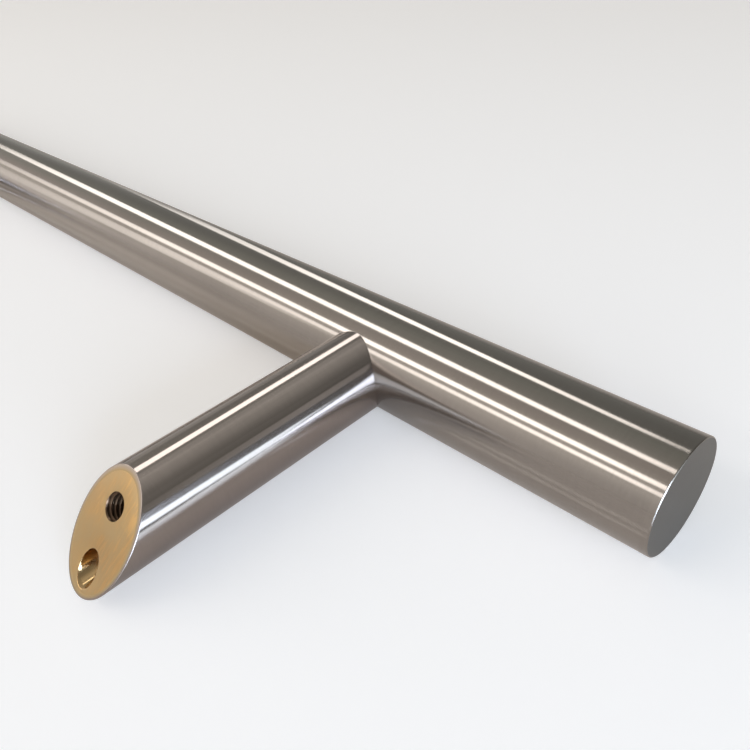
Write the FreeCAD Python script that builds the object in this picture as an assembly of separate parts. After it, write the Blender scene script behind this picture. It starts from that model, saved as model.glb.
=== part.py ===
import FreeCAD, Part
import math
import os

# Offset bridge pull handle: a round grip tube carried by two round posts, each mitred to its fixing face.
# It lies as on a bench: the grip runs along X, the posts reach towards -Y, and the fixing faces look
# up and outwards. The origin is on the bench, under the middle of the handle.
# Lengths are in millimetres, angles in degrees.

# Grip tube
overall_length = 600.0
grip_diameter = 32.0
grip_wall = 1.5

# End caps: a full-width plate with a spigot inside the tube
cap_plate = 2.0
cap_chamfer = 0.25
spigot_length = 8.0
spigot_clearance = 0.05

# Posts: a steel sleeve over a solid brass core, cut together at the mitre
post_spacing = 400.0
projection = 68.0
mitre_angle = 45.0
post_diameter = 25.0
sleeve_wall = 1.2
mitre_edge_round = 0.3

# Tapped fixing hole, square to the fixing face (M8, drawn at its tapping drill)
tap_diameter = 6.8
tap_depth = 7.0
tap_mouth_diameter = 7.4
tap_edge = 5.5
drill_point_angle = 118.0

# Socket screw that pulls the post onto the grip (M4)
screw_diameter = 4.0
head_diameter = 7.0
head_height = 4.0
head_edge_chamfer = 0.3
socket_width = 3.0
socket_depth = 2.0
tip_chamfer = 0.6

# Bore that the screw goes in by, along the post
head_clearance = 0.2
bore_edge = 0.5
shank_clearance = 0.25
seat_web = 12.0

# Threaded anchor block inside the grip tube
anchor_length = 24.0
anchor_flat = 2.0
anchor_clearance = 0.1
thread_clearance = 0.05
tip_recess = 1.0

# Sizes worked out from the ones above
grip_radius = grip_diameter / 2
grip_inner_radius = grip_radius - grip_wall
post_radius = post_diameter / 2
core_radius = post_radius - sleeve_wall
mitre = math.radians(mitre_angle)
post_length = projection / math.sin(mitre)
mitre_reach = post_radius / math.tan(mitre)
tip_loss = mitre_edge_round * (1 / math.tan(mitre / 2) - 1)
tap_radius = tap_diameter / 2
tap_mouth_radius = tap_mouth_diameter / 2
tap_offset = core_radius / math.sin(mitre) - tap_edge - tap_radius
screw_radius = screw_diameter / 2
shank_radius = screw_radius + shank_clearance
bore_radius = head_diameter / 2 + head_clearance
bore_drop = core_radius - bore_edge - bore_radius
seat_distance = grip_radius + seat_web
screw_length = seat_distance - anchor_flat - tip_recess

# Places: the handle's box is centred on the origin in X and Y, and stands on Z = 0
grip_y = (post_length + mitre_reach - tip_loss - grip_radius) / 2
grip_z = grip_radius
bore_z = grip_z - bore_drop

along_grip = FreeCAD.Vector(1, 0, 0)
up = FreeCAD.Vector(0, 0, 1)
towards_face = FreeCAD.Vector(0, -1, 0)
towards_grip = FreeCAD.Vector(0, 1, 0)
up_the_face = FreeCAD.Vector(0, math.cos(mitre), math.sin(mitre))
into_the_face = FreeCAD.Vector(0, math.sin(mitre), -math.cos(mitre))


def turned(profile, start, direction):
    """Solid of revolution from start along direction; profile holds (distance, radius) corners."""
    corners = [FreeCAD.Vector(radius, 0, distance) for distance, radius in profile]
    section = Part.Face(Part.makePolygon(corners + corners[:1]))
    solid = section.revolve(FreeCAD.Vector(0, 0, 0), up, 360)
    solid.Placement = FreeCAD.Placement(start, FreeCAD.Rotation(up, direction))
    return solid


def grip_blank(radius, length):
    """Round bar along the grip's axis, centred on the handle's middle."""
    start = FreeCAD.Vector(-length / 2, grip_y, grip_z)
    return Part.makeCylinder(radius, length, start, along_grip)


def mitre_block(x):
    """Block that holds everything between the grip's axis and the fixing face."""
    half = post_diameter
    lean = half / math.tan(mitre)
    face_y = grip_y - post_length
    side_view = [
        FreeCAD.Vector(x - half, grip_y, grip_z - half),
        FreeCAD.Vector(x - half, grip_y, grip_z + half),
        FreeCAD.Vector(x - half, face_y + lean, grip_z + half),
        FreeCAD.Vector(x - half, face_y - lean, grip_z - half),
    ]
    face = Part.Face(Part.makePolygon(side_view + side_view[:1]))
    return face.extrude(along_grip * 2 * half)


def post_blank(radius, x):
    """Round bar from the grip to the fixing face, coped to sit on the grip."""
    start = FreeCAD.Vector(x, grip_y, grip_z)
    round_bar = Part.makeCylinder(radius, post_length + 2 * mitre_reach, start, towards_face)
    return round_bar.common(mitre_block(x)).cut(grip_blank(grip_radius, overall_length))


def screw_path(radius, x, far_y):
    """Round cutter on the screw's axis, from inside the grip out to far_y."""
    start = FreeCAD.Vector(x, grip_y, bore_z)
    return Part.makeCylinder(radius, grip_y - far_y, start, towards_face)


def grip_tube():
    length = overall_length - 2 * cap_plate
    tube = grip_blank(grip_radius, length).cut(grip_blank(grip_inner_radius, length))
    for x in post_places.values():
        tube = tube.cut(screw_path(shank_radius, x, grip_y - grip_diameter))
    return tube


def end_cap(side):
    outer_x = side * overall_length / 2
    spigot_radius = grip_inner_radius - spigot_clearance
    profile = [
        (0, 0),
        (0, grip_radius - cap_chamfer),
        (cap_chamfer, grip_radius),
        (cap_plate, grip_radius),
        (cap_plate, spigot_radius),
        (cap_plate + spigot_length, spigot_radius),
        (cap_plate + spigot_length, 0),
    ]
    return turned(profile, FreeCAD.Vector(outer_x, grip_y, grip_z), along_grip * -side)


def post_sleeve(x):
    outside = post_blank(post_radius, x)
    fixing_face = next(face for face in outside.Faces if isinstance(face.Surface, Part.Plane))
    rounded = outside.makeFillet(mitre_edge_round, fixing_face.Edges)
    start = FreeCAD.Vector(x, grip_y, grip_z)
    inside = Part.makeCylinder(core_radius, post_length + 2 * mitre_reach, start, towards_face)
    return rounded.cut(inside)


def tapped_hole(x):
    face_centre = FreeCAD.Vector(x, grip_y - post_length, grip_z)
    drill_point = tap_radius / math.tan(math.radians(drill_point_angle / 2))
    profile = [
        (0, 0),
        (0, tap_mouth_radius),
        (tap_mouth_radius - tap_radius, tap_radius),
        (tap_depth, tap_radius),
        (tap_depth + drill_point, 0),
    ]
    return turned(profile, face_centre + up_the_face * tap_offset, into_the_face)


def post_core(x):
    past_the_tip = grip_y - post_length - 2 * mitre_reach
    seat = FreeCAD.Vector(x, grip_y - seat_distance, bore_z)
    head_bore = Part.makeCylinder(bore_radius, seat.y - past_the_tip, seat, towards_face)
    core = post_blank(core_radius, x).cut(head_bore)
    core = core.cut(screw_path(shank_radius, x, seat.y))
    return core.cut(tapped_hole(x))


def post_screw(x):
    head_radius = head_diameter / 2
    head_top = FreeCAD.Vector(x, grip_y - seat_distance - head_height, bore_z)
    profile = [
        (0, 0),
        (0, head_radius - head_edge_chamfer),
        (head_edge_chamfer, head_radius),
        (head_height, head_radius),
        (head_height, screw_radius),
        (head_height + screw_length - tip_chamfer, screw_radius),
        (head_height + screw_length, screw_radius - tip_chamfer),
        (head_height + screw_length, 0),
    ]
    return turned(profile, head_top, towards_grip).cut(hexagon_socket(head_top))


def hexagon_socket(head_top):
    corner_radius = socket_width / 2 / math.cos(math.radians(30))
    corners = []
    for step in range(6):
        turn = math.radians(60 * step)
        across = along_grip * corner_radius * math.cos(turn)
        corners.append(head_top + across + up * corner_radius * math.sin(turn))
    outline = Part.Face(Part.makePolygon(corners + corners[:1]))
    return outline.extrude(towards_grip * socket_depth)


def anchor_block(x):
    radius = grip_inner_radius - anchor_clearance
    start = FreeCAD.Vector(x - anchor_length / 2, grip_y, grip_z)
    slug = Part.makeCylinder(radius, anchor_length, start, along_grip)
    front = FreeCAD.Vector(x - anchor_length / 2, grip_y - anchor_flat - 2 * radius, grip_z - radius)
    keep = Part.makeBox(anchor_length, 2 * radius, 2 * radius, front)
    thread = screw_path(screw_radius + thread_clearance, x, grip_y - grip_radius)
    return slug.common(keep).cut(thread)


post_places = {"right": post_spacing / 2, "left": -post_spacing / 2}
sides = {"right": 1, "left": -1}

parts = {"grip_tube": grip_tube()}
for name, x in post_places.items():
    parts["end_cap_" + name] = end_cap(sides[name])
    parts["post_sleeve_" + name] = post_sleeve(x)
    parts["post_core_" + name] = post_core(x)
    parts["post_screw_" + name] = post_screw(x)
    parts["anchor_block_" + name] = anchor_block(x)

os.makedirs("parts", exist_ok=True)
for name, shape in parts.items():
    shape.exportStep("parts/" + name + ".step")
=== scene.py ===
import math

import bmesh
import bpy
from mathutils import Matrix, Vector


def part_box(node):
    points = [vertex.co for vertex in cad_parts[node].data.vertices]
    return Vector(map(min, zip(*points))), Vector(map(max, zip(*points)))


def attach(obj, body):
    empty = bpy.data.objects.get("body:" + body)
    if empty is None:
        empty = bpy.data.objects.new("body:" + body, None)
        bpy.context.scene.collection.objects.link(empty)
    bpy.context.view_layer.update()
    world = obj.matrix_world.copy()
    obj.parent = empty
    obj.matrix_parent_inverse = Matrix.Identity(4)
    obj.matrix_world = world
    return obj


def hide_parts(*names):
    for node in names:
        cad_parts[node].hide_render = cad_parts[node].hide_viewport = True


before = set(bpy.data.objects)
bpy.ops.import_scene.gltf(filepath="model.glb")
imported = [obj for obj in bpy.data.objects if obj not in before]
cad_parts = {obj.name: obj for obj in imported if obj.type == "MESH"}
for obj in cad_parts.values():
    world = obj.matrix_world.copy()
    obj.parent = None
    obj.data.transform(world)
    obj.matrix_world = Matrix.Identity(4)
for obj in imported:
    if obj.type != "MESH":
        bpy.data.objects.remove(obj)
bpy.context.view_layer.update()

# Offset bridge pull handle: a round satin grip tube on two round posts, each a steel sleeve over a brass
# core, cut at 45 degrees. Lengths are in metres. In a post's own frame X runs across the post, Y is up
# and Z runs out from the grip's axis to the fixing face. In a turned piece's own frame Z is its axis.
mm = 0.001

# Sizes that the frame doesn't give: the grip and its end discs
grip_wall = 1.5 * mm
cap_plate = 2.0 * mm
cap_chamfer = 0.25 * mm
cap_edge_round = 0.2 * mm
spigot_clearance = 0.05 * mm

# The posts: the steel sleeve's wall and rounded rim, the tiny bevel where it meets the core, and the
# slant of the sanding lines on the fixing face
sleeve_wall = 1.2 * mm
rim_round = 0.3 * mm
edge_break = 0.03 * mm
sanding_angle = math.radians(10)

# The tapped fixing hole. tap_edge is the brass left above it, measured along the face.
tap_major_radius = 4.0 * mm
tap_minor_radius = 3.32 * mm
tap_drill_radius = 3.4 * mm
tap_mouth_radius = 3.7 * mm
tap_pitch = 1.25 * mm
tap_depth = 7.0 * mm
tap_edge = 5.5 * mm
drill_point = math.radians(118 / 2)

# The thread's form: its flats as shares of half a pitch, and the slope and length of its first turn
inner_flat = 0.12
outer_flat = 0.2
lead_in_slope = 0.6
lead_in_length = 0.6 * tap_pitch

# The screw bore, with the brass left beside it and between its seat and the grip, and the shank's hole
bore_radius = 3.7 * mm
bore_bevel = 0.12 * mm
bore_edge = 0.5 * mm
seat_web = 12.0 * mm
shank_hole_radius = 2.25 * mm

# Sizes and places that the frame gives
grip_low, grip_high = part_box("grip_tube")
grip_radius = (grip_high.z - grip_low.z) / 2
grip_inner_radius = grip_radius - grip_wall
grip_middle = (grip_low + grip_high) / 2
sleeve_low, sleeve_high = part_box("post_sleeve_right")
post_radius = (sleeve_high.x - sleeve_low.x) / 2
core_radius = post_radius - sleeve_wall
post_length = grip_middle.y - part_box("post_core_right")[0].y - core_radius
post_foot = Vector(((sleeve_low.x + sleeve_high.x) / 2, grip_middle.y, grip_middle.z))
bore_height = -(core_radius - bore_edge - bore_radius)
seat_distance = grip_radius + seat_web
face_slope = math.sqrt(0.5)
tap_height = core_radius / face_slope - tap_edge - tap_drill_radius

# How finely round forms are cut, and the angle from which an edge looks sharp
grip_steps = 256
post_steps = 192
hole_steps = 96
round_steps = 8
corner_steps = 4
thread_rows_per_pitch = 20
sharp_angle = math.radians(32)


class Wire:
    """A shader socket for use in Python arithmetic. Each operator adds one Math node."""

    def __init__(self, tree, socket=None):
        self.tree = tree
        self.socket = socket

    def node(self, kind, settings, inputs, output=0):
        """Adds a node of any kind: its settings first, then values or wires for its sockets. Gives the
        wire of one output, by its number or name."""
        made = self.tree.nodes.new(kind)
        for name, value in settings.items():
            if name == "stops":
                set_stops(made.color_ramp, value)
            else:
                setattr(made, name, value)
        for name, value in inputs.items():
            if isinstance(value, Wire):
                self.tree.links.new(value.socket, made.inputs[name])
            else:
                made.inputs[name].default_value = value
        return Wire(self.tree, made.outputs[output])

    def maths(self, operation, *values):
        return self.node("ShaderNodeMath", {"operation": operation}, dict(enumerate(values)))

    def __add__(self, other):
        return self.maths("ADD", self, other)

    def __sub__(self, other):
        return self.maths("SUBTRACT", self, other)

    def __rsub__(self, other):
        return self.maths("SUBTRACT", other, self)

    def __mul__(self, other):
        return self.maths("MULTIPLY", self, other)

    def __truediv__(self, other):
        return self.maths("DIVIDE", self, other)

    __radd__ = __add__
    __rmul__ = __mul__

    def smooth_between(self, low, high):
        """0 below low, 1 above high, with a smooth step between."""
        sockets = {"Value": self, "From Min": low, "From Max": high}
        return self.node("ShaderNodeMapRange", {"interpolation_type": "SMOOTHSTEP"}, sockets)

    def root(self):
        """The square root of this number."""
        return self.maths("SQRT", self)

    def axes(self):
        """The three numbers of a vector."""
        parts = self.node("ShaderNodeSeparateXYZ", {}, {"Vector": self}).socket.node
        return [Wire(self.tree, part) for part in parts.outputs]

    def scaled(self, x, y, z):
        """A vector with each axis multiplied by a number."""
        return self.node("ShaderNodeVectorMath", {"operation": "MULTIPLY"}, {0: self, 1: (x, y, z)})

    def noise(self, detail=2.0):
        """Even noise, about 0 to 1, read at this vector."""
        return self.node("ShaderNodeTexNoise", {}, {"Vector": self, "Scale": 1.0, "Detail": detail})

    def blend(self, low_colour, high_colour):
        """A colour between two, with this number as the share of the second. The Mix node has three
        sockets of each name, and the numbers here are those of its colours."""
        sockets = {"Factor": self, 6: low_colour, 7: high_colour}
        return self.node("ShaderNodeMix", {"data_type": "RGBA"}, sockets, output=2)


def set_stops(ramp, stops):
    """Gives a colour ramp its stops, each a place from 0 to 1 and a colour."""
    while len(ramp.elements) > 1:
        ramp.elements.remove(ramp.elements[-1])
    ramp.elements[0].position, ramp.elements[0].color = stops[0]
    for place, colour in stops[1:]:
        ramp.elements.new(place).color = colour


def new_metal(name, anisotropy=0.0):
    """Plain metal, and the place in the piece's own frame in millimetres. Its brush marks run round Z."""
    material = bpy.data.materials.new(name)
    material.use_nodes = True
    tree = material.node_tree
    shader = tree.nodes["Principled BSDF"]
    shader.inputs["Metallic"].default_value = 1.0
    shader.inputs["Anisotropic"].default_value = anisotropy
    quarter_turn = 0.25
    shader.inputs["Anisotropic Rotation"].default_value = quarter_turn
    place = Wire(tree).node("ShaderNodeTexCoord", {}, {}, output="Object")
    return material, place.scaled(1 / mm, 1 / mm, 1 / mm)


def finish_metal(material, colour, roughness, relief, relief_depth):
    """Links colour, roughness and fine relief, a height of 0 to 1 and its depth, to a metal's shader."""
    tree = material.node_tree
    shader = tree.nodes["Principled BSDF"]
    tree.links.new(colour.socket, shader.inputs["Base Color"])
    tree.links.new(roughness.socket, shader.inputs["Roughness"])
    sockets = {"Height": relief, "Distance": relief_depth, "Strength": 1.0}
    bump = relief.node("ShaderNodeBump", {}, sockets)
    tree.links.new(bump.socket, shader.inputs["Normal"])
    return material


def satin_steel(name, dark_colour, light_colour):
    """Stainless turned bright and finely brushed round its axis, which is Z in the piece's own frame."""
    material, place = new_metal(name, anisotropy=0.92)
    draw_lines = place.scaled(5.0, 5.0, 0.012).noise(3.0)
    brush_rings = place.scaled(0.06, 0.06, 9.0).noise(2.0)
    brush_strokes = place.scaled(0.22, 0.22, 1.5).noise(3.0)
    clouds = place.scaled(0.05, 0.05, 0.02).noise(2.0)
    tone = draw_lines * 0.3 + clouds * 0.45 + brush_strokes * 0.25
    colour = tone.smooth_between(0.3, 0.7).blend(dark_colour, light_colour)
    roughness = 0.13 + brush_rings * 0.03 + clouds * 0.03
    relief = draw_lines * 0.05 + brush_rings * 0.03 + brush_strokes
    return finish_metal(material, colour, roughness, relief, 0.007 * mm)


def faced_steel(name):
    """Matt stainless of the end discs' faces, cut flat across."""
    material, place = new_metal(name)
    grain = place.scaled(3.0, 3.0, 3.0).noise(3.0)
    clouds = place.scaled(0.12, 0.12, 0.12).noise(2.0)
    # The face's steel is painted darker than the grip's, as painted shade.
    colour = clouds.blend((0.19, 0.195, 0.193, 1), (0.215, 0.22, 0.218, 1))
    roughness = 0.3 + grain * 0.06
    return finish_metal(material, colour, roughness, grain, 0.001 * mm)


def sanded_steel(name):
    """Stainless of a sleeve's mitred rim, sanded together with the brass and warmed by its dust."""
    material, place = new_metal(name)
    grain = place.scaled(3.0, 3.0, 3.0).noise(3.0)
    section = place.scaled(1.0, 1.0, 0.0)
    distance = section.node("ShaderNodeVectorMath", {"operation": "LENGTH"}, {0: section}, output="Value")
    outer = (distance + grain * 0.3).smooth_between(core_radius / mm + 0.15, post_radius / mm - 0.05)
    # The ring's steel is painted lighter towards the top of the face and darker towards the bottom:
    # painted light and painted shade.
    painted_top_light = place.axes()[1].smooth_between(-10, 10)
    steel_painted_lighter_above = painted_top_light.blend((0.30, 0.262, 0.235, 1), (0.43, 0.365, 0.305, 1))
    colour = outer.blend((0.455, 0.34, 0.18, 1), steel_painted_lighter_above)
    roughness = 0.46 + grain * 0.06
    return finish_metal(material, colour, roughness, grain, 0.001 * mm)


def faced_brass(name):
    """Brass sanded along the fixing face's length."""
    material, place = new_metal(name)
    across, up, out = place.axes()
    along = (up - out + post_length / mm) * face_slope
    sheet = place.node("ShaderNodeCombineXYZ", {}, {"X": across, "Y": along, "Z": 0.0})
    settings = {"rotation_type": "Z_AXIS"}
    turned = sheet.node("ShaderNodeVectorRotate", settings, {"Vector": sheet, "Angle": sanding_angle})
    fine_lines = turned.scaled(4.0, 0.2, 1.0).noise(3.0)
    clouds = sheet.scaled(0.14, 0.1, 1.0).noise(2.0)
    patches = (clouds + across * 0.015 + along * 0.004).smooth_between(0.45, 0.65)
    deep_lines = turned.scaled(1.3, 0.18, 1.0).noise(2.0).smooth_between(0.5, 0.62) * patches
    tone = fine_lines * 0.3 + clouds * 0.7 + deep_lines * 0.25
    colour = tone.smooth_between(0.3, 0.8).blend((0.455, 0.34, 0.185, 1), (0.535, 0.345, 0.152, 1))
    roughness = 0.46 + fine_lines * 0.1 - deep_lines * 0.15
    return finish_metal(material, colour, roughness, fine_lines + deep_lines * 0.8, 0.003 * mm)


def drilled_brass(name):
    """Drilled brass inside the screw bore, painted brighter away from the fixing face as painted light on
    the deep wall.
    """
    material, place = new_metal(name)
    up, out = place.axes()[1:]
    # Deeper in the bore the brass colour is painted brighter: a painted light on the wall.
    deep = ((post_length / mm - up - out) * face_slope).smooth_between(2.0, 5.0)
    rings = place.scaled(0.2, 0.2, 5.0).noise(2.0)
    colour = (deep * 0.8 + rings * 0.2).blend((0.50, 0.355, 0.18, 1), (0.85, 0.55, 0.27, 1))
    roughness = 0.12 + rings * 0.06 + deep * 0.25
    return finish_metal(material, colour, roughness, rings, 0.001 * mm)


def tapped_brass(name):
    """Duller brass of the cut thread, painted dark as shade inside the hole."""
    material, place = new_metal(name)
    grain = place.scaled(2.5, 2.5, 2.5).noise(2.0)
    # These dark brass colours are painted shade of the hole's inside.
    colour = grain.blend((0.12, 0.075, 0.05, 1), (0.19, 0.13, 0.085, 1))
    roughness = 0.3 + grain * 0.08
    return finish_metal(material, colour, roughness, grain, 0.002 * mm)


def plain_steel(name):
    """Zinc-bright steel of the screws and the anchor blocks."""
    material, place = new_metal(name)
    grain = place.scaled(1.5, 1.5, 1.5).noise(3.0)
    colour = grain.blend((0.40, 0.40, 0.41, 1), (0.52, 0.52, 0.53, 1))
    roughness = 0.28 + grain * 0.12
    return finish_metal(material, colour, roughness, grain, 0.003 * mm)


def ring(mesh, points):
    """New corners of a mesh, one after another round a ring."""
    return [mesh.verts.new(point) for point in points]


def skin(mesh, rings, finish=0, closed=False):
    """Joins rings of as many points each, one after another, with four-sided faces."""
    pairs = list(zip(rings, rings[1:]))
    if closed:
        pairs.append((rings[-1], rings[0]))
    for first, second in pairs:
        count = len(first)
        for k in range(count):
            n = (k + 1) % count
            face = mesh.faces.new((first[k], first[n], second[n], second[k]))
            face.material_index = finish


def turns(steps):
    """Angles once round, in radians."""
    return [math.tau * k / steps for k in range(steps)]


def circle(radius, z, steps, y=0.0):
    """Points of a circle that faces along Z, with its middle at a height y."""
    return [(radius * math.cos(a), y + radius * math.sin(a), z) for a in turns(steps)]


def softened(corners, radius):
    """Profile with some corners rounded. Each corner comes with whether it is rounded."""
    made = []
    for k, (here, rounded) in enumerate(corners):
        if not rounded:
            made.append(here)
            continue
        before = corners[k - 1][0]
        after = corners[(k + 1) % len(corners)][0]
        to_before = (before - here).normalized()
        to_after = (after - here).normalized()
        half = to_before.angle(to_after) / 2
        reach = radius / math.tan(half)
        centre = here + (to_before + to_after).normalized() * radius / math.sin(half)
        start = (here + to_before * reach - centre).normalized()
        end = (here + to_after * reach - centre).normalized()
        for step in range(corner_steps + 1):
            made.append(centre + start.slerp(end, step / corner_steps) * radius)
    return made


def stand(name, mesh, place, finishes, node):
    """Makes a piece from a mesh, puts it in place and lets it stand for its node of the frame."""
    bmesh.ops.recalc_face_normals(mesh, faces=mesh.faces)
    data = bpy.data.meshes.new(name)
    mesh.to_mesh(data)
    mesh.free()
    for finish in finishes:
        data.materials.append(finish)
    data.shade_smooth()
    data.set_sharp_from_angle(angle=sharp_angle)
    piece = bpy.data.objects.new(name, data)
    bpy.context.scene.collection.objects.link(piece)
    piece.matrix_world = place
    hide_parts(node)
    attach(piece, "root")
    return piece


def axis_along(start, direction, up_side):
    """Place of a piece whose own Z runs along direction and whose own Y points to up_side."""
    z = Vector(direction)
    y = Vector(up_side)
    x = y.cross(z)
    turn = Matrix((x, y, z)).transposed().to_4x4()
    return Matrix.Translation(start) @ turn


def make_grip(finish):
    """The grip tube, with the screw holes in its side under the posts."""
    half = (grip_high.x - grip_low.x) / 2
    beside_hole = 2 * shank_hole_radius
    right_half = [half, post_foot.x + beside_hole, post_foot.x - beside_hole]
    stations = right_half + [-z for z in reversed(right_half)]
    mesh = bmesh.new()
    outer = [ring(mesh, circle(grip_radius, z, grip_steps)) for z in stations]
    inner = [ring(mesh, circle(grip_inner_radius, z, grip_steps)) for z in reversed(stations)]
    skin(mesh, outer + inner, closed=True)
    place = axis_along(grip_middle, (1, 0, 0), (0, 0, 1))
    grip = stand("grip_skin", mesh, place, [finish], "grip_tube")
    for side in ("right", "left"):
        drill_hole(grip, post_place(side) @ Vector((0, bore_height, 0)))
    return grip


def drill_hole(piece, start):
    """Cuts a screw hole through one wall of a piece, from start towards the fixing face."""
    mesh = bmesh.new()
    past_the_wall = grip_radius + 2 * mm
    ends = [ring(mesh, circle(shank_hole_radius, z, hole_steps)) for z in (0, past_the_wall)]
    skin(mesh, ends)
    for end in ends:
        mesh.faces.new(end)
    bmesh.ops.recalc_face_normals(mesh, faces=mesh.faces)
    data = bpy.data.meshes.new("hole")
    mesh.to_mesh(data)
    mesh.free()
    cutter = bpy.data.objects.new("hole", data)
    bpy.context.scene.collection.objects.link(cutter)
    cutter.matrix_world = axis_along(start, (0, -1, 0), (0, 0, 1))
    cut = piece.modifiers.new("screw_hole", "BOOLEAN")
    cut.operation = "DIFFERENCE"
    cut.object = cutter
    bpy.context.view_layer.objects.active = piece
    bpy.ops.object.modifier_apply(modifier=cut.name)
    bpy.data.objects.remove(cutter)


def make_cap(side, finish_side, finish_face):
    """End disc with a bevelled rim and a spigot inside the tube. Its own Z points out of the grip."""
    low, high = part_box("end_cap_" + side)
    spigot_back = low.x - high.x
    spigot_radius = grip_inner_radius - spigot_clearance
    chamfer_start = grip_radius - cap_chamfer
    corners = [
        (Vector((0, chamfer_start - cap_edge_round)), False),
        (Vector((0, chamfer_start)), True),
        (Vector((-cap_chamfer, grip_radius)), True),
        (Vector((-cap_chamfer - cap_edge_round, grip_radius)), False),
        (Vector((-cap_plate, grip_radius)), False),
        (Vector((-cap_plate, spigot_radius)), False),
        (Vector((spigot_back, spigot_radius)), False),
    ]
    mesh = bmesh.new()
    profile = softened(corners, cap_edge_round)
    rings = [ring(mesh, circle(radius, z, grip_steps)) for z, radius in profile]
    face_rings = [ring(mesh, circle(grip_radius * share, 0, grip_steps)) for share in (0.25, 0.6)]
    skin(mesh, face_rings + rings)
    mesh.faces.new(face_rings[0])
    mesh.faces.new(rings[-1])
    nearly_flat = edge_break / 10
    for face in mesh.faces:
        on_outer_face = all(abs(corner.co.z) < nearly_flat for corner in face.verts)
        face.material_index = 1 if on_outer_face else 0
    sign = 1 if side == "right" else -1
    outer_x = grip_middle.x + sign * (grip_high.x - grip_middle.x + cap_plate)
    place = axis_along((outer_x, grip_middle.y, grip_middle.z), (sign, 0, 0), (0, 0, 1))
    finishes = [finish_side, finish_face]
    return stand("end_disc_" + side, mesh, place, finishes, "end_cap_" + side)


def post_place(side):
    """Place of a post's own frame."""
    low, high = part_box("post_sleeve_" + side)
    start = ((low.x + high.x) / 2, grip_middle.y, grip_middle.z)
    return axis_along(start, (0, -1, 0), (0, 0, 1))


def on_cope(x, y):
    """Point of a post where it sits on the grip's round side."""
    return (x, y, math.sqrt(grip_radius ** 2 - y ** 2))


def on_face(x, y):
    """Point of a post on the plane of its fixing face."""
    return (x, y, post_length - y)


def post_ring(mesh, surface, radius, shift=0.0):
    """Ring of a post at a radius, where surface is on_cope or on_face, shifted along the post."""
    points = [Vector(surface(radius * math.cos(a), radius * math.sin(a))) for a in turns(post_steps)]
    return ring(mesh, [point + Vector((0, 0, shift)) for point in points])


def rim_rings(mesh):
    """Rings of the small round between a sleeve's outside and its fixing face."""
    face_normal = Vector((0, face_slope, face_slope))
    rings = []
    for step in range(round_steps + 1):
        points = []
        for a in turns(post_steps):
            outward = Vector((math.cos(a), math.sin(a), 0))
            corner = Vector(on_face(*(outward.xy * post_radius)))
            inset = (outward + face_normal) / (1 + outward.dot(face_normal))
            centre = corner - inset * rim_round
            points.append(centre + outward.slerp(face_normal, step / round_steps) * rim_round)
        rings.append(ring(mesh, points))
    return rings


def make_sleeve(side, finish_side, finish_face):
    """Steel sleeve of a post, coped to the grip at one end and mitred at the other."""
    mesh = bmesh.new()
    inner_cope = post_ring(mesh, on_cope, core_radius)
    cope = [post_ring(mesh, on_cope, post_radius - edge_break)]
    rim = rim_rings(mesh)
    for rise in (edge_break, 2 * edge_break, 1 * mm, 4 * mm):
        cope.append(post_ring(mesh, on_cope, post_radius, rise))
    before_rim = []
    for back in (4 * mm, 1 * mm, 0.2 * mm):
        before_rim.append(ring(mesh, [corner.co - Vector((0, 0, back)) for corner in rim[0]]))
    near_core = post_ring(mesh, on_face, core_radius + edge_break)
    inner_rim = post_ring(mesh, on_face, core_radius, -edge_break)
    skin(mesh, cope + before_rim + rim)
    skin(mesh, [rim[-1], near_core, inner_rim], finish=1)
    skin(mesh, [inner_rim, inner_cope, cope[0]])
    finishes = [finish_side, finish_face]
    return stand("sleeve_" + side, mesh, post_place(side), finishes, "post_sleeve_" + side)


def thread_radius(depth, angle):
    """Radius of the tapped hole at a depth below the fixing face, in metres and radians."""
    phase = (depth / tap_pitch - angle / math.tau) % 1.0
    flank = (abs(2 * phase - 1) - inner_flat) / (1 - inner_flat - outer_flat)
    groove = min(1.0, max(0.0, flank))
    run_out = min(1.0, max(0.0, (tap_depth - depth) / tap_pitch))
    threaded = tap_minor_radius + (tap_major_radius - tap_minor_radius) * groove * run_out
    lead_in = tap_mouth_radius - lead_in_slope * depth
    run_in = min(1.0, depth / lead_in_length)
    return max(lead_in, lead_in + (threaded - lead_in) * run_in)


def tapped_rings(mesh):
    """Rings of the tapped hole, from its mouth down to the point of the drilled hole."""
    across = Vector((1, 0, 0))
    along = Vector((0, face_slope, -face_slope))
    inward = Vector((0, -face_slope, -face_slope))
    mouth = Vector(on_face(0, tap_height * face_slope))
    rows = round(tap_depth / tap_pitch * thread_rows_per_pitch)
    depths = [tap_depth * row / rows for row in range(rows + 1)]
    cuts = [(depth, [thread_radius(depth, a) for a in turns(hole_steps)]) for depth in depths]
    cone = tap_minor_radius / math.tan(drill_point)
    for share in (0.5, 0.04):
        cuts.append((tap_depth + cone * (1 - share), [tap_minor_radius * share] * hole_steps))
    rings = []
    for depth, radii in cuts:
        centre = mouth + inward * depth
        arms = [across * math.cos(a) + along * math.sin(a) for a in turns(hole_steps)]
        rings.append(ring(mesh, [centre + arm * radius for arm, radius in zip(arms, radii)]))
    return rings


def bore_rings(mesh):
    """Rings of the screw bore: its rounded mouth, its wall, and its end at the screw's seat."""
    rings = []
    for turned in (0, math.pi / 4, math.pi / 2):
        radius = bore_radius + bore_bevel * (1 - math.sin(turned))
        sink = bore_bevel * (1 - math.cos(turned))
        points = []
        for a in turns(hole_steps):
            spot = Vector(on_face(radius * math.cos(a), bore_height + radius * math.sin(a)))
            points.append(spot - Vector((0, 0, sink)))
        rings.append(ring(mesh, points))
    mouth = rings[-1]
    for back in (1 * mm, 6 * mm):
        rings.append(ring(mesh, [corner.co - Vector((0, 0, back)) for corner in mouth]))
    for z in (seat_distance + 8 * mm, seat_distance):
        rings.append(ring(mesh, circle(bore_radius, z, hole_steps, y=bore_height)))
    return rings


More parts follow.
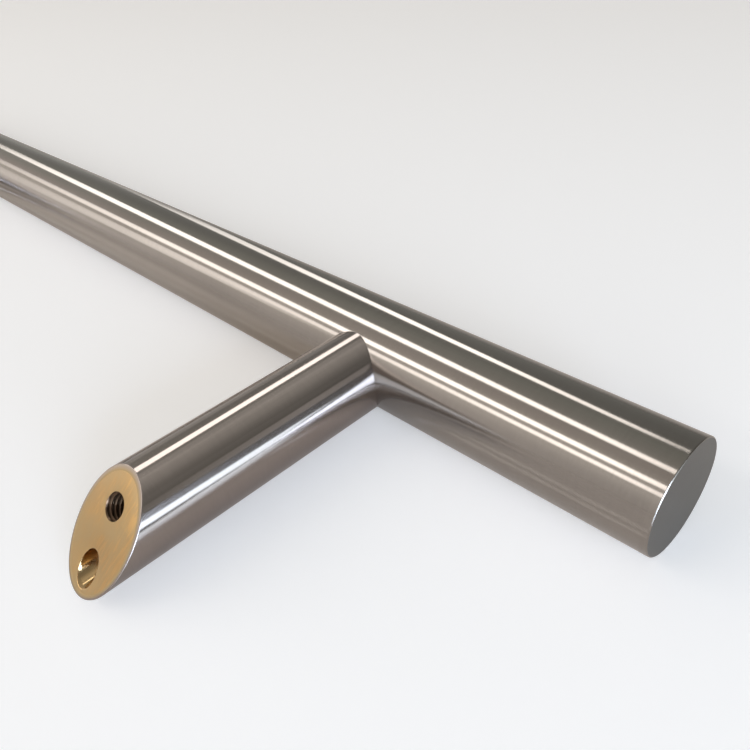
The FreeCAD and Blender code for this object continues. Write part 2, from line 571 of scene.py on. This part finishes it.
def make_core(side, face_finish, bore_finish, thread_finish):
    """Brass core of a post, with the tapped fixing hole and the screw bore in its mitred face."""
    mesh = bmesh.new()
    face_rim = post_ring(mesh, on_face, core_radius - edge_break)
    wall_top = post_ring(mesh, on_face, core_radius, -edge_break)
    wall_foot = post_ring(mesh, on_cope, core_radius)
    skin(mesh, [face_rim, wall_top, wall_foot])
    tapped = tapped_rings(mesh)
    skin(mesh, tapped, finish=2)
    mesh.faces.new(tapped[-1]).material_index = 2
    bore = bore_rings(mesh)
    skin(mesh, bore, finish=1)
    seat = ring(mesh, circle(shank_hole_radius, seat_distance, hole_steps, y=bore_height))
    shank = circle(shank_hole_radius, 0, hole_steps, y=bore_height)
    shank_foot = ring(mesh, [on_cope(x, y) for x, y, z in shank])
    skin(mesh, [bore[-1], seat, shank_foot], finish=1)
    fill_between(mesh, [face_rim, tapped[0], bore[0]])
    saddle = [wall_foot] + [post_ring(mesh, on_cope, core_radius * share) for share in (0.97, 0.9)]
    skin(mesh, saddle)
    fill_between(mesh, [saddle[-1], shank_foot])
    finishes = [face_finish, bore_finish, thread_finish]
    return stand("core_" + side, mesh, post_place(side), finishes, "post_core_" + side)


def fill_between(mesh, loops):
    """Fills the sheet that the first loop bounds and the other loops pierce."""
    edges = []
    for loop in loops:
        for k, corner in enumerate(loop):
            edges.append(mesh.edges.get((corner, loop[(k + 1) % len(loop)])))
    bmesh.ops.triangle_fill(mesh, use_beauty=True, use_dissolve=False, edges=edges)


def strip_lamp(name, start, end, width, colour, levels, only=None):
    """Long soft lamp that faces the handle, with its ends given from the right post's foot. Levels holds
    its brightness, where 1 would render as white, at places from start (0) to end (1). It lights
    everything, or only the pieces of one collection."""
    start = post_foot + Vector(start)
    end = post_foot + Vector(end)
    middle = (start + end) / 2
    length = (end - start).length
    data = bpy.data.lights.new(name, "AREA")
    data.shape = "RECTANGLE"
    data.size = length
    data.size_y = width
    data.energy = math.pi * length * width
    data.color = colour
    data.use_nodes = True
    along = Wire(data.node_tree).node("ShaderNodeNewGeometry", {}, {}, output="Parametric").axes()[0]
    stops = [(place, (level, level, level, 1)) for place, level in levels]
    brightness = along.node("ShaderNodeValToRGB", {"stops": stops}, {"Fac": along})
    emission = data.node_tree.nodes["Emission"]
    data.node_tree.links.new(brightness.socket, emission.inputs["Strength"])
    lamp = bpy.data.objects.new(name, data)
    bpy.context.scene.collection.objects.link(lamp)
    x = (end - start).normalized()
    away = (middle - lit_point).normalized()
    y = away.cross(x).normalized()
    z = x.cross(y)
    lamp.matrix_world = Matrix.Translation(middle) @ Matrix((x, y, z)).transposed().to_4x4()
    if only:
        lamp.light_linking.receiver_collection = only


# Finishes
satin_grip = satin_steel("satin_steel_grip", (0.346, 0.324, 0.302, 1), (0.390, 0.366, 0.342, 1))
satin_post = satin_steel("satin_steel_post", (0.354, 0.315, 0.296, 1), (0.399, 0.356, 0.336, 1))
faced = faced_steel("faced_steel")
sanded = sanded_steel("sanded_steel")
brass_face = faced_brass("faced_brass")
brass_bore = drilled_brass("drilled_brass")
brass_thread = tapped_brass("tapped_brass")
steel_inside = plain_steel("plain_steel")

# Pieces
grip_pieces = bpy.data.collections.new("grip_pieces")
post_pieces = bpy.data.collections.new("post_pieces")
grip_pieces.objects.link(make_grip(satin_grip))
for side in ("right", "left"):
    grip_pieces.objects.link(make_cap(side, satin_grip, faced))
    post_pieces.objects.link(make_sleeve(side, satin_post, sanded))
    post_pieces.objects.link(make_core(side, brass_face, brass_bore, brass_thread))
    for node in ("post_screw_" + side, "anchor_block_" + side):
        hidden_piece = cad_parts[node]
        hidden_piece.data.materials.clear()
        hidden_piece.data.materials.append(steel_inside)

# Floor: pale, with a colour and a glow of its own where the camera sees it directly
floor_half = 6.0
floor_mesh = bpy.data.meshes.new("floor")
floor_corners = [(x * floor_half, y * floor_half, 0) for x, y in ((-1, -1), (1, -1), (1, 1), (-1, 1))]
floor_mesh.from_pydata(floor_corners, [], [(0, 1, 2, 3)])
floor = bpy.data.objects.new("floor", floor_mesh)
bpy.context.scene.collection.objects.link(floor)
floor_paint = bpy.data.materials.new("pale_floor")
floor_paint.use_nodes = True
floor_tree = floor_paint.node_tree
floor_shader = floor_tree.nodes["Principled BSDF"]
seen_by_camera = Wire(floor_tree).node("ShaderNodeLightPath", {}, {}, output="Is Camera Ray")
floor_colour = seen_by_camera.blend((0.84, 0.76, 0.69, 1), (0.87, 0.865, 0.86, 1))
floor_glow = seen_by_camera.blend((0, 0, 0, 1), (0.29, 0.29, 0.29, 1))
floor_roughness = 0.07 + seen_by_camera * 0.7
floor_tree.links.new(floor_colour.socket, floor_shader.inputs["Base Color"])
floor_tree.links.new(floor_glow.socket, floor_shader.inputs["Emission Color"])
floor_tree.links.new(floor_roughness.socket, floor_shader.inputs["Roughness"])
floor_shader.inputs["Emission Strength"].default_value = 1.0
floor_mesh.materials.append(floor_paint)

# Lamps: long strips for the streaks on the grip and the posts, windows for the cool reflections, and weak
# glows. Each has its start, end, width, colour and brightness along its length.
warm = (1.0, 0.955, 0.915)
pale_blue = (0.76, 0.89, 1.0)
sky_blue = (0.64, 0.78, 1.0)
lit_point = Vector((post_foot.x, 0, grip_radius))
strip_lamp(
    "lamp_over_back", (-0.13, -0.21, 1.02), (-1.56, 0.206, 0.5), 0.135, warm,
    [(0, 3.0), (0.3, 3.2), (1, 2.8)], grip_pieces)
strip_lamp(
    "lamp_over_front", (-0.19, -0.911, 1.01), (-2.0, -0.382, 0.65), 0.17, warm,
    [(0, 3.5), (0.5, 3.1), (0.8, 2.0), (1, 1.4)])
strip_lamp(
    "lamp_front", (-0.3, -1.465, 1.005), (-1.78, -1.21, 0.866), 0.20, warm,
    [(0, 3.0), (0.12, 2.8), (0.35, 2.3), (1, 1.3)])
strip_lamp(
    "lamp_front_far", (-1.78, -1.31, 0.84), (-2.8, -1.022, 0.6), 0.42, warm,
    [(0, 1.1), (1, 0.8)])
strip_lamp(
    "lamp_back", (-0.41, 0.961, 1.43), (-1.22, 0.694, 0.056), 0.18, warm,
    [(0, 4.2), (0.12, 2.1), (0.35, 3.4), (0.6, 3.2), (0.8, 1.7), (1, 1.0)], grip_pieces)
strip_lamp(
    "window_near", (1.2, -0.85, 0.30), (1.2, -0.12, 0.30), 0.54, sky_blue,
    [(0, 12.5), (1, 12.5)])
strip_lamp(
    "window_far", (1.2, -0.12, 0.245), (1.2, 0.65, 0.05), 0.25, pale_blue,
    [(0, 3.3), (1, 3.0)])
strip_lamp(
    "window_side", (1.0, -1.05, 0.38), (0.35, -1.4, 0.38), 0.70, pale_blue,
    [(0, 2.9), (1, 2.0)])
strip_lamp(
    "glow_over_post", (-0.45, 0.35, 1), (1, 0.35, 1), 0.9, warm,
    [(0, 0.19), (0.124, 0.24), (0.205, 0.34), (0.267, 0.26), (0.31, 0.22), (0.466, 0.14),
     (0.62, 0.08), (0.724, 0.05), (0.9, 0.05), (1, 0.03)], post_pieces)
strip_lamp(
    "glow_right", (1.2, 0.15, 0.86), (1.2, 0.9, 0.74), 0.34, warm,
    [(0, 0.1), (0.3, 0.2), (0.55, 0.34), (1, 0.34)])
strip_lamp(
    "lamp_over_post", (-0.70, -0.03, 1), (-0.97, 1.02, 1), 0.30, warm,
    [(0, 3), (1, 3)], post_pieces)
strip_lamp(
    "glow_left", (-1.15, 0.1, 0.22), (-1.0, 0.65, 0.22), 0.46, warm,
    [(0, 0.24), (0.5, 0.2), (1, 0.1)], post_pieces)

# World: a soft room, brighter in front of the fixing faces than behind the grip, dimmer to the right and
# brighter low down at the left. Its ramp runs round the grip, from straight behind it over the top to
# straight in front of it. The camera sees the room plain and pale.
world = bpy.context.scene.world or bpy.data.worlds.new("studio")
bpy.context.scene.world = world
world.use_nodes = True
background = world.node_tree.nodes["Background"]
x, y, z = Wire(world.node_tree).node("ShaderNodeTexCoord", {}, {}, output="Generated").axes()
towards_front = 0.5 - 0.5 * y / (1 - x * x).root()
room_stops = [
    (0.0, (0.27, 0.268, 0.25, 1)),
    (0.15, (0.255, 0.25, 0.232, 1)),
    (0.3, (0.36, 0.357, 0.32, 1)),
    (0.5, (0.45, 0.43, 0.39, 1)),
    (0.68, (0.58, 0.52, 0.475, 1)),
    (0.8, (0.66, 0.60, 0.54, 1)),
    (0.95, (0.89, 0.82, 0.75, 1)),
    (1.0, (0.70, 0.64, 0.595, 1)),
]
room = towards_front.node("ShaderNodeValToRGB", {"stops": room_stops}, {"Fac": towards_front})
seen_directly = Wire(world.node_tree).node("ShaderNodeLightPath", {}, {}, output="Is Camera Ray")
room_colour = seen_directly.blend(room, (0.86, 0.855, 0.85, 1))
low_left = (1 - z.smooth_between(0.03, 0.16)) * (1 - x.smooth_between(-0.95, -0.86))
over_middle = x.smooth_between(-0.5, -0.2)
right_side = x.smooth_between(0.1, 0.5)
room_level = 1 - 0.14 * over_middle - 0.26 * right_side + 0.9 * low_left
level_choice = {"Factor": seen_directly, "A": room_level, "B": 1.0}
strength = seen_directly.node("ShaderNodeMix", {"data_type": "FLOAT"}, level_choice)
world.node_tree.links.new(room_colour.socket, background.inputs["Color"])
world.node_tree.links.new(strength.socket, background.inputs["Strength"])

# Camera: near the grip's right end, above the front side of the fixing face. Its lens is given in pixels
# of the picture, and its place from the right post's foot.
camera_data = bpy.data.cameras.new("camera")
camera = bpy.data.objects.new("camera", camera_data)
bpy.context.scene.collection.objects.link(camera)
bpy.context.scene.camera = camera
image_size = 750
focal_pixels = 679.48
lens_centre = (421.98, 443.72)
camera_data.sensor_width = 36.0
camera_data.lens = focal_pixels / image_size * camera_data.sensor_width
camera_data.shift_x = (image_size / 2 - lens_centre[0]) / image_size
camera_data.shift_y = (lens_centre[1] - image_size / 2) / image_size
camera_data.clip_start = 0.005
turn_left = math.radians(46.74)
look_down = math.radians(41.46)
roll = math.radians(-5.48)
forward = Vector((
    -math.sin(turn_left) * math.cos(look_down),
    math.cos(turn_left) * math.cos(look_down),
    -math.sin(look_down)))
level_right = Vector((math.cos(turn_left), math.sin(turn_left), 0))
level_up = level_right.cross(forward)
right = level_right * math.cos(roll) + level_up * math.sin(roll)
upward = level_up * math.cos(roll) - level_right * math.sin(roll)
camera_offset = Vector((0.1371, -0.1169, 0.1195))
facing = Matrix((right, upward, -forward)).transposed().to_4x4()
camera.matrix_world = Matrix.Translation(post_foot + camera_offset) @ facing

bpy.context.scene.view_settings.view_transform = "Standard"
